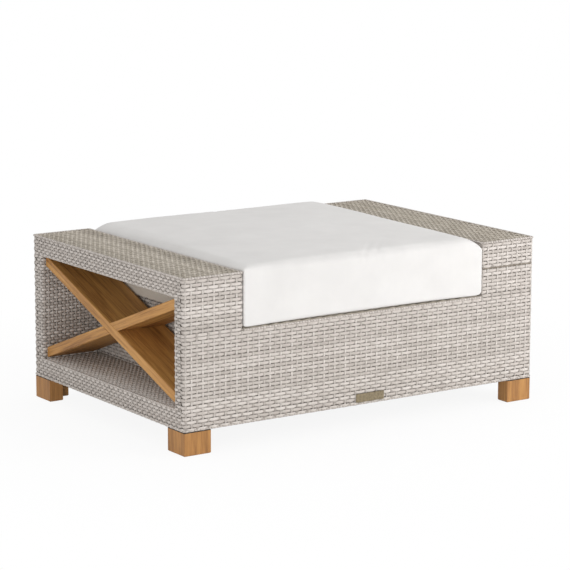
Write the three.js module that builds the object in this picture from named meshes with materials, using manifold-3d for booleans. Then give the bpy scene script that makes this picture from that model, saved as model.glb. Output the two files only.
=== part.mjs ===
// Outdoor ottoman footstool: a welded aluminium frame dressed in woven resin strand,
// with a crossed teak divider in each open end, four teak feet and one loose boxed cushion.
// Millimetres, +Z up. The origin is on the floor under the middle of the body.
// +X runs along the length, and the front, with the small plate, faces -Y.
import * as THREE from 'three';
import { RoundedBoxGeometry } from 'three/addons/geometries/RoundedBoxGeometry.js';
import { mergeVertices } from 'three/addons/utils/BufferGeometryUtils.js';
import Module from 'manifold-3d';

const wasm = await Module();
wasm.setup();

// Body: the woven box above the feet
const bodyLength = 1170;
const bodyDepth = 813;
const bodyHeight = 409;
const bodyEdgeRadius = 6;
const footHeight = 65;
const armWidth = 187;
const recessDepth = 148;
const weaveThickness = 6;
const fitGap = 0.3;
const weldTolerance = 0.0005;
const cutOverrun = 5;

// End openings: the face of the woven rim round each compartment
const jambWidth = 49;
const sillHeight = 57;
const lintelHeight = 57;

// Frame tubes
const tubeWall = 2;
const postWidth = 36;
const bottomRailHeight = 44;
const armRailHeight = 38;
const seatRailHeight = 34;
const slatWidth = 40;
const slatHeight = 20;
const flatRailHeight = 32;
const flatRailThickness = 3;

// Crossed teak planks
const plankThickness = 27.5;
const plankDepth = 152;
const plankRecess = 16;
const plankChamfer = 1.2;

// Teak feet, L-shaped in plan
const footSide = 82;
const footLeg = 42;
const footInset = 3;
const footChamfer = 2;

// Blank plate low on the front
const plateLength = 93;
const plateHeight = 23.5;
const plateThickness = 1.4;
const plateLift = 7.5;
const plateShift = 12;
const plateCorner = 2;

// Loose cushion
const cushionSideGap = 2;
const cushionFaceInset = 3;
const cushionSeatGap = 0.8;
const cushionEdgeHeight = 155;
const cushionCrown = 14;
const cushionCornerRadius = 18;
const cushionSideDraw = 4;
const coverThickness = 4;
const foamGap = 0.8;

// Zip in the back of the cushion
const zipLength = 500;
const zipSlotHeight = 9;
const zipBandThickness = 2.4;
const sliderLength = 13;
const sliderHeight = 7;
const pullWidth = 5;
const pullLength = 24;
const pullThickness = 1;
const sliderEndMargin = 12;

const halfLength = bodyLength / 2;
const halfDepth = bodyDepth / 2;
const bodyBottom = footHeight;
const bodyTop = footHeight + bodyHeight;
const armInner = halfLength - armWidth;
const deckTop = bodyTop - recessDepth;
const deckUnderside = deckTop - weaveThickness;
const armSkinUnderside = bodyTop - weaveThickness;
const compartmentFloor = bodyBottom + sillHeight;
const compartmentCeiling = bodyTop - lintelHeight;
const compartmentHalfDepth = halfDepth - jambWidth;
const skinInside = weaveThickness + fitGap;
const postOuterX = halfLength - skinInside;
const postOuterY = halfDepth - skinInside;
const innerSkinOutboard = armInner + weaveThickness;
const innerPostInboard = innerSkinOutboard + fitGap;

const colours = {
  weave: 0xb9b2aa,
  weaveDark: 0x9f978c,
  frame: 0xb3aa9e,
  teak: 0xa27a4e,
  teakShade: 0x8a6545,
  canvas: 0xeeece9,
  foam: 0xf1e6c8,
  zip: 0xd8d5cf,
  brass: 0x8e8169,
};

function finish(color, roughness, metalness) {
  return new THREE.MeshStandardMaterial({ color, roughness, metalness });
}

const finishes = {
  weave: () => finish(colours.weave, 0.62, 0),
  weaveDark: () => finish(colours.weaveDark, 0.66, 0),
  frame: () => finish(colours.frame, 0.5, 0.2),
  teak: () => finish(colours.teak, 0.58, 0),
  teakShade: () => finish(colours.teakShade, 0.6, 0),
  canvas: () => finish(colours.canvas, 0.9, 0),
  foam: () => finish(colours.foam, 0.95, 0),
  zip: () => finish(colours.zip, 0.5, 0),
  brass: () => finish(colours.brass, 0.42, 0.85),
};

const ottoman = new THREE.Group();
ottoman.name = 'outdoor_ottoman_footstool';

function addPiece(name, geometry, material) {
  const mesh = new THREE.Mesh(geometry, material);
  mesh.name = name;
  ottoman.add(mesh);
  return mesh;
}

// A box between two corners
function spanBox(low, high) {
  const size = low.map((value, i) => high[i] - value);
  const box = new THREE.BoxGeometry(size[0], size[1], size[2]);
  box.translate((low[0] + high[0]) / 2, (low[1] + high[1]) / 2, (low[2] + high[2]) / 2);
  return box;
}

function toSolid(geometry) {
  const bare = geometry.clone();
  bare.deleteAttribute('normal');
  bare.deleteAttribute('uv');
  const joined = mergeVertices(bare, weldTolerance);
  const solid = new wasm.Manifold(new wasm.Mesh({
    numProp: 3,
    vertProperties: new Float32Array(joined.attributes.position.array),
    triVerts: new Uint32Array(joined.index.array),
  }));
  return solid;
}

function toGeometry(solid) {
  const mesh = solid.getMesh();
  const geometry = new THREE.BufferGeometry();
  geometry.setAttribute('position', new THREE.BufferAttribute(new Float32Array(mesh.vertProperties), 3));
  geometry.setIndex(new THREE.BufferAttribute(new Uint32Array(mesh.triVerts), 1));
  return geometry;
}

// The left end is at -X and the right end is its mirror image, so a span is mirrored by its side
function sided(side, nearer, farther) {
  return side < 0 ? [-farther, -nearer] : [nearer, farther];
}

const bodyEnvelope = toSolid(roundedBodyGeometry());

function roundedBodyGeometry() {
  const arcSteps = 2;
  const box = new RoundedBoxGeometry(bodyLength, bodyDepth, bodyHeight, arcSteps, bodyEdgeRadius);
  box.translate(0, 0, (bodyBottom + bodyTop) / 2);
  return box;
}

// A woven skin is a slab, less its cut-outs, kept inside the rounded body
function wovenSkin(name, low, high, cutouts, material) {
  let solid = toSolid(spanBox(low, high));
  for (const [cutLow, cutHigh] of cutouts) {
    solid = solid.subtract(toSolid(spanBox(cutLow, cutHigh)));
  }
  addPiece(name, toGeometry(solid.intersect(bodyEnvelope)), material);
}

// A hollow tube between two corners, open at both ends, along its longest side
function frameTube(low, high) {
  const size = low.map((value, i) => high[i] - value);
  const along = size.indexOf(Math.max(...size));
  const boreLow = low.map((value, i) => (i === along ? value - cutOverrun : value + tubeWall));
  const boreHigh = high.map((value, i) => (i === along ? value + cutOverrun : value - tubeWall));
  return toGeometry(toSolid(spanBox(low, high)).subtract(toSolid(spanBox(boreLow, boreHigh))));
}

// The upright tubes: one in each corner and one at each inner corner of the arms
function addPosts() {
  for (const [endName, endSide] of [['left', -1], ['right', 1]]) {
    for (const [faceName, faceSide] of [['front', -1], ['back', 1]]) {
      const y = sided(faceSide, postOuterY - postWidth, postOuterY);
      const top = armSkinUnderside - fitGap;
      const outer = sided(endSide, postOuterX - postWidth, postOuterX);
      const inner = sided(endSide, innerPostInboard, innerPostInboard + postWidth);
      addPiece(`${faceName}_${endName}_corner_post`,
        frameTube([outer[0], y[0], bodyBottom], [outer[1], y[1], top]), finishes.frame());
      addPiece(`${faceName}_${endName}_inner_post`,
        frameTube([inner[0], y[0], bodyBottom], [inner[1], y[1], top]), finishes.frame());
    }
  }
}

const railHalfY = postOuterY - postWidth - fitGap;
const bottomRailTop = compartmentFloor - weaveThickness - fitGap;
const armRailTop = armSkinUnderside - fitGap;
const seatRailTop = deckUnderside - fitGap;
const seatRailBottom = seatRailTop - seatRailHeight;
const armShortInner = innerPostInboard + postWidth + fitGap;
const armShortOuter = postOuterX - postWidth - fitGap;

// Rails that run front to back, and the short rails across each arm
function addEndRails() {
  for (const [endName, side] of [['left', -1], ['right', 1]]) {
    const outer = sided(side, postOuterX - postWidth, postOuterX);
    const inner = sided(side, innerPostInboard, innerPostInboard + postWidth);
    const levels = [
      ['bottom', bottomRailTop - bottomRailHeight, bottomRailTop],
      ['arm', armRailTop - armRailHeight, armRailTop],
    ];
    for (const [level, low, high] of levels) {
      addPiece(`${endName}_outer_${level}_rail`,
        frameTube([outer[0], -railHalfY, low], [outer[1], railHalfY, high]), finishes.frame());
      addPiece(`${endName}_inner_${level}_rail`,
        frameTube([inner[0], -railHalfY, low], [inner[1], railHalfY, high]), finishes.frame());
    }
    const short = sided(side, armShortInner, armShortOuter);
    for (const [faceName, faceSide] of [['front', -1], ['back', 1]]) {
      const y = sided(faceSide, postOuterY - postWidth, postOuterY);
      addPiece(`${faceName}_${endName}_arm_rail`,
        frameTube([short[0], y[0], armRailTop - armRailHeight], [short[1], y[1], armRailTop]), finishes.frame());
    }
  }
}

const seatRailHalfX = innerPostInboard - fitGap;

// The long rails between the inner posts, and the bars that carry the woven deck
function addSeatFrame() {
  for (const [faceName, faceSide] of [['front', -1], ['back', 1]]) {
    const y = sided(faceSide, postOuterY - postWidth, postOuterY);
    addPiece(`${faceName}_seat_rail`,
      frameTube([-seatRailHalfX, y[0], seatRailBottom], [seatRailHalfX, y[1], seatRailTop]), finishes.frame());
    addPiece(`${faceName}_bottom_rail`,
      frameTube([-seatRailHalfX, y[0], bottomRailTop - bottomRailHeight], [seatRailHalfX, y[1], bottomRailTop]),
      finishes.frame());
  }
  const sideRailOuter = armInner - fitGap;
  for (const [endName, side] of [['left', -1], ['right', 1]]) {
    const x = sided(side, sideRailOuter - seatRailHeight, sideRailOuter);
    addPiece(`${endName}_seat_side_rail`,
      frameTube([x[0], -railHalfY, seatRailBottom], [x[1], railHalfY, seatRailTop]), finishes.frame());
    const slatCentre = side * (sideRailOuter - seatRailHeight) / 3;
    addPiece(`${endName}_seat_slat`,
      frameTube([slatCentre - slatWidth / 2, -railHalfY, seatRailTop - slatHeight],
        [slatCentre + slatWidth / 2, railHalfY, seatRailTop]), finishes.frame());
  }
}

// The flat rail that shows inside each compartment, level with the seat deck
function addFlatRails() {
  const halfY = compartmentHalfDepth - fitGap;
  for (const [endName, side] of [['left', -1], ['right', 1]]) {
    const x = sided(side, innerSkinOutboard + fitGap, innerSkinOutboard + fitGap + flatRailThickness);
    addPiece(`${endName}_compartment_flat_rail`,
      spanBox([x[0], -halfY, deckTop], [x[1], halfY, deckTop + flatRailHeight]), finishes.frame());
  }
}

// Front and back panels: full width, notched for the cushion
function addLongPanels() {
  for (const [faceName, faceSide] of [['front', -1], ['back', 1]]) {
    const y = sided(faceSide, halfDepth - weaveThickness, halfDepth);
    const notch = [
      [-armInner, y[0] - cutOverrun, deckTop],
      [armInner, y[1] + cutOverrun, bodyTop + cutOverrun],
    ];
    wovenSkin(`${faceName}_woven_panel`, [-halfLength, y[0], bodyBottom],
      [halfLength, y[1], armSkinUnderside - fitGap], [notch], finishes.weave());
  }
}

const skinHalfY = halfDepth - weaveThickness - fitGap;

// Each end is a woven rim round an open compartment
function addEndSkins() {
  for (const [endName, side] of [['left', -1], ['right', 1]]) {
    const rim = sided(side, halfLength - weaveThickness, halfLength);
    const opening = [
      [rim[0] - cutOverrun, -compartmentHalfDepth, compartmentFloor],
      [rim[1] + cutOverrun, compartmentHalfDepth, compartmentCeiling],
    ];
    wovenSkin(`${endName}_end_woven_rim`, [rim[0], -skinHalfY, bodyBottom],
      [rim[1], skinHalfY, armSkinUnderside - fitGap], [opening], finishes.weaveDark());

    const top = sided(side, armInner, halfLength);
    wovenSkin(`${endName}_arm_woven_top`, [top[0], -halfDepth, armSkinUnderside],
      [top[1], halfDepth, bodyTop], [], finishes.weaveDark());

    addInnerPanel(endName, side);
    addCompartmentLining(endName, side);
  }
}

// The arm's inner panel faces the cushion above the deck and the compartment on its other side
function addInnerPanel(endName, side) {
  const x = sided(side, armInner, innerSkinOutboard);
  const bottom = bodyBottom;
  const notches = [];
  for (const faceSide of [-1, 1]) {
    const y = sided(faceSide, postOuterY - postWidth - fitGap, halfDepth);
    for (const [low, high] of [[seatRailBottom, seatRailTop], [bottomRailTop - bottomRailHeight, bottomRailTop]]) {
      notches.push([[x[0] - cutOverrun, y[0], low - fitGap], [x[1] + cutOverrun, y[1], high + fitGap]]);
    }
  }
  wovenSkin(`${endName}_inner_woven_panel`, [x[0], -skinHalfY, bottom],
    [x[1], skinHalfY, armSkinUnderside - fitGap], notches, finishes.weave());
}

// Floor, ceiling and two side walls of one compartment
function addCompartmentLining(endName, side) {
  const deepest = innerSkinOutboard + fitGap;
  const mouth = halfLength - weaveThickness - fitGap;
  const x = sided(side, deepest, mouth);
  const wallOuter = compartmentHalfDepth + weaveThickness;
  addPiece(`${endName}_compartment_floor`,
    spanBox([x[0], -compartmentHalfDepth, compartmentFloor - weaveThickness],
      [x[1], compartmentHalfDepth, compartmentFloor]), finishes.weave());
  addPiece(`${endName}_compartment_ceiling`,
    spanBox([x[0], -compartmentHalfDepth, compartmentCeiling],
      [x[1], compartmentHalfDepth, compartmentCeiling + weaveThickness]), finishes.weaveDark());
  for (const [faceName, faceSide] of [['front', -1], ['back', 1]]) {
    const y = sided(faceSide, compartmentHalfDepth + fitGap, wallOuter);
    addPiece(`${endName}_compartment_${faceName}_wall`,
      spanBox([x[0], y[0], bottomRailTop + fitGap], [x[1], y[1], armRailTop - armRailHeight - fitGap]),
      finishes.weave());
  }
}

function addSeatDeck() {
  addPiece('seat_woven_deck',
    spanBox([-armInner + fitGap, -skinHalfY, deckUnderside], [armInner - fitGap, skinHalfY, deckTop]),
    finishes.weaveDark());
}

// A plank runs from corner to corner of its compartment, with upright ends, so its height
// measured upright depends on its slope, and its slope on that height
function plankRise() {
  const run = 2 * (compartmentHalfDepth - fitGap);
  const cell = compartmentCeiling - compartmentFloor - 2 * fitGap;
  let upright = plankThickness;
  const settleRounds = 12;
  for (let round = 0; round < settleRounds; round += 1) {
    upright = plankThickness * Math.hypot(1, (cell - upright) / run);
  }
  return { upright, slope: (cell - upright) / run };
}

// Both planks are halved where they cross: each loses half its depth there
function addPlanks() {
  const { upright, slope } = plankRise();
  const halfRun = compartmentHalfDepth - fitGap;
  const low = compartmentFloor + fitGap;
  const high = compartmentCeiling - fitGap;
  for (const [endName, side] of [['left', -1], ['right', 1]]) {
    const outerX = halfLength - plankRecess;
    const innerX = outerX - plankDepth;
    const middleX = outerX - plankDepth / 2;
    const falling = plankSolid(side, halfRun, low, high, upright, innerX, outerX, 1);
    const rising = plankSolid(side, halfRun, low, high, upright, innerX, outerX, -1);
    // the notch round the other plank, a fit gap wider on each side
    const grownUpright = upright + 2 * fitGap * Math.hypot(1, slope);
    const notchRise = (grownUpright - upright) / 2;
    const notchLow = low - notchRise;
    const notchHigh = high + notchRise;
    const outerHalf = [middleX - fitGap / 2, outerX + cutOverrun];
    const innerHalf = [innerX - cutOverrun, middleX + fitGap / 2];
    const risingNotch = plankSolid(side, halfRun, notchLow, notchHigh, grownUpright, ...outerHalf, -1, true);
    const fallingNotch = plankSolid(side, halfRun, notchLow, notchHigh, grownUpright, ...innerHalf, 1, true);
    addPiece(`${endName}_x_plank_falling_to_back`, toGeometry(falling.subtract(risingNotch)), finishes.teak());
    addPiece(`${endName}_x_plank_falling_to_front`, toGeometry(rising.subtract(fallingNotch)),
      finishes.teakShade());
  }
}

// slopeSign 1 falls towards the back, -1 falls towards the front
function plankSolid(side, halfRun, low, high, upright, innerX, outerX, slopeSign, sharp = false) {
  const outline = new THREE.Shape();
  outline.moveTo(-halfRun * slopeSign, high);
  outline.lineTo(-halfRun * slopeSign, high - upright);
  outline.lineTo(halfRun * slopeSign, low);
  outline.lineTo(halfRun * slopeSign, low + upright);
  outline.closePath();
  const bevel = sharp ? 0 : plankChamfer;
  const plank = new THREE.ExtrudeGeometry(outline, {
    depth: outerX - innerX - 2 * bevel,
    bevelEnabled: !sharp,
    bevelThickness: bevel,
    bevelSize: bevel,
    bevelOffset: -bevel,
    bevelSegments: 1,
  });
  plank.translate(0, 0, bevel);
  // shape x becomes y, shape y becomes z and the extrusion becomes x
  plank.applyMatrix4(new THREE.Matrix4().set(0, 0, 1, 0, 1, 0, 0, 0, 0, 1, 0, 0, 0, 0, 0, 1));
  const span = sided(side, innerX, outerX);
  plank.translate(span[0], 0, 0);
  return toSolid(plank);
}

// One L-shaped block under each corner, its notch towards the middle of the body
function addFeet() {
  const cornerX = halfLength - footInset;
  const cornerY = halfDepth - footInset;
  for (const [endName, endSide] of [['left', -1], ['right', 1]]) {
    for (const [faceName, faceSide] of [['front', -1], ['back', 1]]) {
      const corner = (x, y) => [endSide * (cornerX - x), faceSide * (cornerY - y)];
      const points = [
        corner(0, 0), corner(footSide, 0), corner(footSide, footLeg),
        corner(footLeg, footLeg), corner(footLeg, footSide), corner(0, footSide),
      ].map(([x, y]) => new THREE.Vector2(x, y));
      const foot = new THREE.ExtrudeGeometry(new THREE.Shape(points), {
        depth: footHeight - fitGap - 2 * footChamfer,
        bevelEnabled: true,
        bevelThickness: footChamfer,
        bevelSize: footChamfer,
        bevelOffset: -footChamfer,
        bevelSegments: 1,
      });
      foot.translate(0, 0, footChamfer);
      addPiece(`${faceName}_${endName}_foot`, foot, finishes.teak());
    }
  }
}

function roundedRectangle(width, height, radius) {
  const x = width / 2;
  const y = height / 2;
  const quarter = Math.PI / 2;
  const shape = new THREE.Shape();
  shape.absarc(x - radius, y - radius, radius, 0, quarter);
  shape.absarc(-x + radius, y - radius, radius, quarter, 2 * quarter);
  shape.absarc(-x + radius, -y + radius, radius, 2 * quarter, 3 * quarter);
  shape.absarc(x - radius, -y + radius, radius, 3 * quarter, 4 * quarter);
  return shape;
}

function addPlate() {
  const plate = new THREE.ExtrudeGeometry(roundedRectangle(plateLength, plateHeight, plateCorner), {
    depth: plateThickness, bevelEnabled: false, curveSegments: 4,
  });
  plate.rotateX(Math.PI / 2);
  plate.translate(plateShift, -halfDepth - fitGap, bodyBottom + plateLift + plateHeight / 2);
  addPiece('front_blank_plate', plate, finishes.brass());
}

const cushionHalfX = armInner - cushionSideGap;
const cushionHalfY = halfDepth - cushionFaceInset;
const cushionBottom = deckTop + cushionSeatGap;

// Grid lines bunch towards the edges, where the rounding needs them: a unit value is pushed outwards
function bunch(unit, power) {
  return Math.sign(unit) * (1 - (1 - Math.abs(unit)) ** power);
}

// A boxed cushion: flat below, crowned above, its sides drawn in between rounded corners
function cushionForm(halfX, halfY, edgeHeight, crown, radius, draw, columns, layers) {
  const box = new THREE.BoxGeometry(2, 2, 2, columns, columns, layers);
  const place = box.attributes.position;
  const halfZ = edgeHeight / 2;
  const bunchPower = 1.7;
  for (let i = 0; i < place.count; i += 1) {
    const unit = [place.getX(i), place.getY(i), place.getZ(i)].map((value) => bunch(value, bunchPower));
    const full = [unit[0] * halfX, unit[1] * halfY, unit[2] * halfZ];
    const core = [halfX - radius, halfY - radius, halfZ - radius];
    const seat = full.map((value, axis) => Math.max(-core[axis], Math.min(core[axis], value)));
    const away = full.map((value, axis) => value - seat[axis]);
    const reach = Math.hypot(...away);
    const spot = reach > 0 ? seat.map((value, axis) => value + away[axis] / reach * radius) : full;
    const bowX = 1 - unit[1] ** 2;
    const bowY = 1 - unit[0] ** 2;
    const upper = (spot[2] + halfZ) / edgeHeight;
    const x = spot[0] * (1 - draw * bowX / halfX);
    const y = spot[1] * (1 - draw * bowY / halfY);
    const swell = crown * upper * bowX ** 0.6 * bowY ** 0.6;
    place.setXYZ(i, x, y, spot[2] + halfZ + swell);
  }
  return box;
}

// The cover is a thin shell with one slot at the back, and the foam fills it
function addCushion() {
  const outer = cushionForm(cushionHalfX, cushionHalfY, cushionEdgeHeight, cushionCrown,
    cushionCornerRadius, cushionSideDraw, 14, 8);
  const inner = cushionForm(cushionHalfX - coverThickness, cushionHalfY - coverThickness,
    cushionEdgeHeight - 2 * coverThickness, cushionCrown, cushionCornerRadius - coverThickness,
    cushionSideDraw, 12, 6);
  inner.translate(0, 0, coverThickness);
  const slotZ = cushionEdgeHeight / 2;
  const drawnFace = cushionHalfY - cushionSideDraw;
  const slot = spanBox(
    [-zipLength / 2, drawnFace - 2 * coverThickness, slotZ - zipSlotHeight / 2],
    [zipLength / 2, cushionHalfY + cutOverrun, slotZ + zipSlotHeight / 2]);
  const cover = toSolid(outer).subtract(toSolid(inner)).subtract(toSolid(slot));
  const coverMesh = addPiece('cushion_cover', toGeometry(cover), finishes.canvas());
  coverMesh.position.set(0, 0, cushionBottom);

  const bandOuter = drawnFace - fitGap;
  const bandInner = bandOuter - zipBandThickness;
  const foamInset = coverThickness + foamGap;
  const foamForm = cushionForm(cushionHalfX - foamInset, cushionHalfY - foamInset,
    cushionEdgeHeight - 2 * foamInset, cushionCrown, cushionCornerRadius - coverThickness,
    cushionSideDraw, 12, 6);
  // the foam gives way behind the zip
  const pocketZ = slotZ - foamInset;
  const pocket = spanBox(
    [-zipLength / 2, bandInner - fitGap, pocketZ - zipSlotHeight / 2],
    [zipLength / 2, cushionHalfY + cutOverrun, pocketZ + zipSlotHeight / 2]);
  const foam = toSolid(foamForm).subtract(toSolid(pocket));
  const foamMesh = addPiece('cushion_foam_core', toGeometry(foam), finishes.foam());
  foamMesh.position.set(0, 0, cushionBottom + foamInset);

  const band = spanBox(
    [-zipLength / 2 + fitGap, bandInner, slotZ - zipSlotHeight / 2 + fitGap],
    [zipLength / 2 - fitGap, bandOuter, slotZ + zipSlotHeight / 2 - fitGap]);
  const bandMesh = addPiece('cushion_zip_band', band, finishes.zip());
  bandMesh.position.set(0, 0, cushionBottom);
  addSlider(slotZ, bandOuter);
}

// The slider's body runs on the band, and its pull hangs outside the cover
function addSlider(slotZ, bandOuter) {
  const x = zipLength / 2 - sliderEndMargin;
  const bodyY = bandOuter + fitGap;
  const pullY = cushionHalfY - fitGap;
  const slider = toSolid(spanBox([x - sliderLength / 2, bodyY, slotZ - sliderHeight / 2],
    [x + sliderLength / 2, pullY + pullThickness, slotZ + sliderHeight / 2]));
  const pull = toSolid(spanBox([x - pullWidth / 2, pullY, slotZ - sliderHeight / 2 - pullLength],
    [x + pullWidth / 2, pullY + pullThickness, slotZ]));
  const mesh = addPiece('cushion_zip_slider', toGeometry(slider.add(pull)), finishes.brass());
  mesh.position.set(0, 0, cushionBottom);
}

addPosts();
addEndRails();
addSeatFrame();
addFlatRails();
addLongPanels();
addEndSkins();
addSeatDeck();
addPlanks();
addFeet();
addPlate();
addCushion();

export default ottoman;
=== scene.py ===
# %% [markdown]
# An outdoor ottoman footstool: a low woven body with wide flat arms, a boxed cushion
# between them, open ends with crossed teak planks, and teak feet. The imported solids
# are the frame. Everything woven or soft is made here around them, in metres.

# %% Load the frame
import math

import bpy
import numpy as np
from mathutils import Matrix, Vector


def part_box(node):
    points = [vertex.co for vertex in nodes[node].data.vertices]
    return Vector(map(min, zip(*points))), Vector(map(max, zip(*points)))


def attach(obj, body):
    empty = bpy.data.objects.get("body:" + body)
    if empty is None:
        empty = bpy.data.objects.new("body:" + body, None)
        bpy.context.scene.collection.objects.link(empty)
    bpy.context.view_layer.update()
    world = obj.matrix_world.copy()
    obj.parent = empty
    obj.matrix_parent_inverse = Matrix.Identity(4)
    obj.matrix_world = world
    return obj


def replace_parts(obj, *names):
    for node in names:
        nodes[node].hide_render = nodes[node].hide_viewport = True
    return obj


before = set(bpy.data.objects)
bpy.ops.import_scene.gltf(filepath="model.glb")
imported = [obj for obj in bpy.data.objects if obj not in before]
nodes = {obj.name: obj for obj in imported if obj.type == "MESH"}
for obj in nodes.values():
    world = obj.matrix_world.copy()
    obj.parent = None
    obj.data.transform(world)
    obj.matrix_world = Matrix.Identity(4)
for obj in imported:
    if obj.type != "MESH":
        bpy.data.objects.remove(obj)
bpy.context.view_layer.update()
MM = 0.001
print("nodes loaded:", len(nodes))

# %% Helpers: select a piece, read and write its points
def deselect():
    for piece in bpy.context.selected_objects:
        piece.select_set(False)


def select_only(piece):
    deselect()
    bpy.context.view_layer.objects.active = piece
    piece.select_set(True)


def read_points(piece, what="co"):
    values = np.empty(len(piece.data.vertices) * 3)
    piece.data.vertices.foreach_get(what, values)
    return values.reshape(-1, 3)


def write_points(piece, points):
    piece.data.vertices.foreach_set("co", points.ravel())
    piece.data.update()


# %% Sizes read from the frame
front_low, front_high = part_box("front_woven_panel")
arm_low, arm_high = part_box("left_arm_woven_top")
floor_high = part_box("left_compartment_floor")[1]
deck_low, deck_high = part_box("seat_woven_deck")
panel_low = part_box("left_inner_woven_panel")[0]
ceiling_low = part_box("left_compartment_ceiling")[0]
half_length = float(front_high[0])
half_depth = float(arm_high[1])
body_bottom = float(front_low[2])
body_top = float(arm_high[2])
arm_inner = -float(arm_high[0])
deck_top = float(deck_high[2])
deck_under = float(deck_low[2])
floor_top = float(floor_high[2])
ceiling_under = float(ceiling_low[2])
opening_half = float(floor_high[1])
skin = body_top - float(arm_low[2])
wall_end = float(abs(panel_low[0]))
print("body", 2 * half_length, 2 * half_depth, body_top - body_bottom)

# %% [markdown]
# Woven resin is made of flat strands that pass over and under thin upright stakes.
# A picture or a bump of that goes flat at the edges, so the strands here are real:
# each row is a flattened tube that follows a track in plan, waves over and under the
# stakes, and turns round the corners of the body as the real strand does.
# One sheet holds hundreds of rows, so its points are worked out in code and not
# extruded one by one.

# %% Weave sizes
stake_pitch = 17.5 * MM
row_pitch = 9.9 * MM
wave_height = 1.45 * MM
strand_cover_share = 0.47
# the ends are woven finer than the front, over stakes coloured darkest: painted shade where the
# strands dip under them
end_stake_pitch = 12.5 * MM
end_row_pitch = 8.6 * MM
end_wave = 1.8 * MM
arm_stake_pitch = 13 * MM
arm_row_pitch = 7.4 * MM
arm_wave = 1.7 * MM
arm_cover_share = 0.4
floor_stake_pitch = 10 * MM
floor_row_pitch = 6.6 * MM
floor_wave = 0.8 * MM
# a tone runs from 0, the darkest strand, to 1, the lightest
strand_tones = (0.2, 0.85)
front_stake_tones = (0.85, 0.45)
# stake tones of the ends: painted shade at the under-crossings
end_stake_shaded_tones = (0.1, 0.0)
strand_half_thickness = 0.85 * MM
stake_half_width = 2.6 * MM
stake_half_thickness = 0.7 * MM
stake_proud = 0.6 * MM
row_jitter = 0.35 * MM
strand_drift = 0.25 * MM
drift_rate = 9.0
drift_shift = 40
middle_depth = skin / 2
corner_radius = 4.5 * MM
jamb_radius = 2.5 * MM
wrap_edge = 5 * MM
# a thin dark sheet lies behind the strands: painted shade in the gaps of the weave
shade_sheet_depth = 2.6 * MM
shade_sheet_half_thickness = 0.25 * MM
shade_sheet_inset = 0.3 * MM
samples_per_stake = 3
flat_samples_per_stake = 2
rng = np.random.default_rng(46)


# %% A track: straight runs joined by quarter turns
class Track:
    """A path in a plane through corner points, with every corner rounded by one radius."""

    def __init__(self, points, radius, outward):
        self.pieces = []
        self.outward = outward
        at = np.array(points[0], float)
        total = 0.0
        for i in range(1, len(points)):
            corner = np.array(points[i], float)
            way = corner - np.array(points[i - 1], float)
            way = way / np.linalg.norm(way)
            last = i == len(points) - 1
            end = corner if last else corner - way * radius
            run = float(np.linalg.norm(end - at))
            self.pieces.append(("run", total, run, at.copy(), way))
            total += run
            if not last:
                onward = np.array(points[i + 1], float) - corner
                onward = onward / np.linalg.norm(onward)
                arc = radius * math.pi / 2
                self.pieces.append(("arc", total, arc, end.copy(), (way, onward, radius)))
                total += arc
                at = corner + onward * radius
        self.length = total

    def sample(self, distances):
        spots = np.zeros((len(distances), 2))
        ways = np.zeros((len(distances), 2))
        for kind, start, run, origin, data in self.pieces:
            first = start <= 0
            final = start + run >= self.length - 1e-9
            here = (distances >= start if not first else distances > -1) & (
                distances <= start + run if not final else distances < self.length + 1)
            along = distances[here] - start
            if kind == "run":
                spots[here] = origin + along[:, None] * data
                ways[here] = data
            else:
                way, onward, radius = data
                angle = along / radius
                spots[here] = (origin + radius * np.sin(angle)[:, None] * way
                               + radius * (1 - np.cos(angle))[:, None] * onward)
                ways[here] = np.cos(angle)[:, None] * way + np.sin(angle)[:, None] * onward
        normals = np.stack([ways[:, 1], -ways[:, 0]], axis=1) * self.outward
        return spots, normals


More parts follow.
